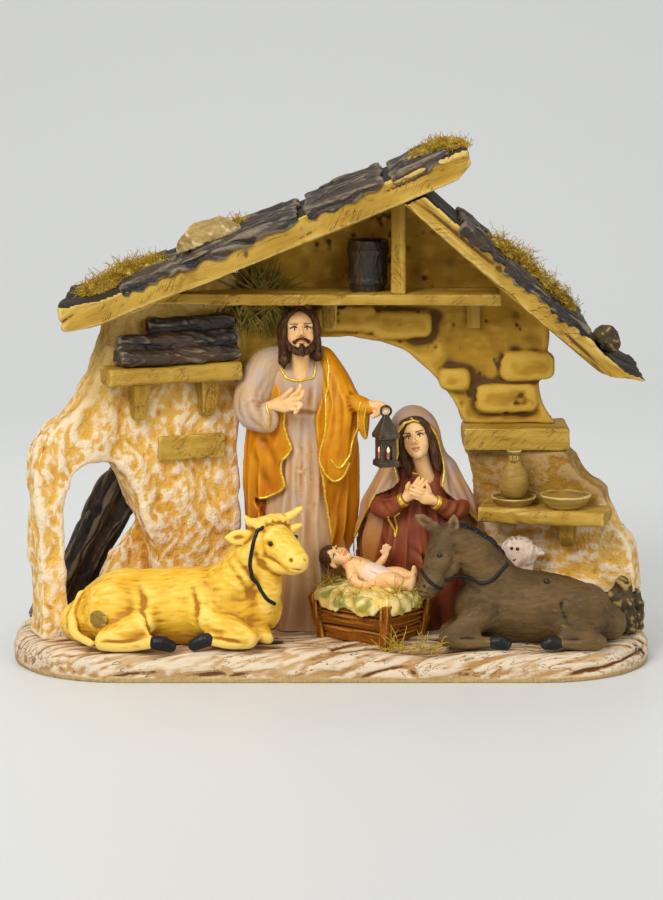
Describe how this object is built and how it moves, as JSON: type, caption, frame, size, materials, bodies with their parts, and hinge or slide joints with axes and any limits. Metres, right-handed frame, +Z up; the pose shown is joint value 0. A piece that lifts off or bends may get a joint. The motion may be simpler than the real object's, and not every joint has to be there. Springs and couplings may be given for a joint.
{
  "type": "nativity stable",
  "caption": "Free-standing nativity stable on a rounded plinth, with stucco side walls, an open gable, a sloping roof with bark and moss, fixed figures and animals, and a lantern that swings.",
  "frame": {"origin": "middle of the plinth's flat underside", "axes": "+X to the right as seen from the front, +Y to the back, +Z up"},
  "size_m": [0.287, 0.116, 0.2355],
  "materials": {
    "plinth": "painted cast resin, cream with ochre and dark brush streaks",
    "stucco": "painted cast resin, rough ochre plaster, dry brushed with pale pink",
    "gable_stone": "painted cast resin, mustard field stone with dark wash",
    "timber": "painted cast resin carved as rough timber, dark grain",
    "bark": "painted cast resin carved as bark, charcoal with tan patches",
    "rock": "painted cast resin, dark olive rock with tan highlights",
    "moss": "dried fibrous moss, yellow olive",
    "leaf": "painted cast resin, dark olive leaves",
    "pottery": "painted cast resin pottery, ochre with a brown wash",
    "robe_gold": "painted cast resin, mustard cloak over a pale lilac robe",
    "robe_rose": "painted cast resin, pale lilac mantle over a rose robe",
    "skin": "painted cast resin, pale flesh",
    "crate_wood": "painted cast resin carved as amber boards",
    "straw": "straw, pale yellow",
    "ox_hide": "painted cast resin, golden hide with a brown wash",
    "donkey_hide": "painted cast resin, dark grey brown hide",
    "fleece": "painted cast resin, cream fleece",
    "bronze": "painted cast resin, dark bronze"
  },
  "bodies": {
    "stable": {"base_plinth": "plinth", "left_wall": "stucco", "right_wall": "stucco", "gable_wall": "gable_stone", "left_roof_slab": "timber", "right_roof_slab": "timber", "lintel_plank": "timber", "loft_shelf": "timber", "king_post": "timber", "beam_struts": "timber", "log_shelf": "timber", "shelf_corbels": "timber", "wall_timber": "timber", "ware_shelf": "timber", "ware_shelf_prop": "timber", "left_roof_bark": "bark", "right_roof_bark": "bark", "log_stack": "bark", "leaning_bundle": "bark", "loft_barrel": "bark", "left_roof_stone": "rock", "right_roof_stone": "rock", "corner_rocks": "rock", "left_roof_moss": "moss", "ridge_moss": "moss", "right_roof_moss": "moss", "palm_fronds": "leaf", "water_jug": "pottery", "jug_plate": "pottery", "grain_bowl": "pottery", "standing_figure": "robe_gold", "kneeling_figure": "robe_rose", "infant_figure": "skin", "manger_crate": "crate_wood", "manger_straw": "straw", "ground_straw": "straw", "ox_figure": "ox_hide", "donkey_figure": "donkey_hide", "lamb_figure": "fleece"},
    "lantern": {"lantern_body": "bronze", "lantern_ring": "bronze"}
  },
  "joints": [
    {"name": "lantern_swing", "type": "hinge", "parent": "stable", "child": "lantern", "pos_m": [0.02411, -0.02294, 0.11534], "axis": [0, 1, 0], "range_deg": [-20, 20]}
  ]
}
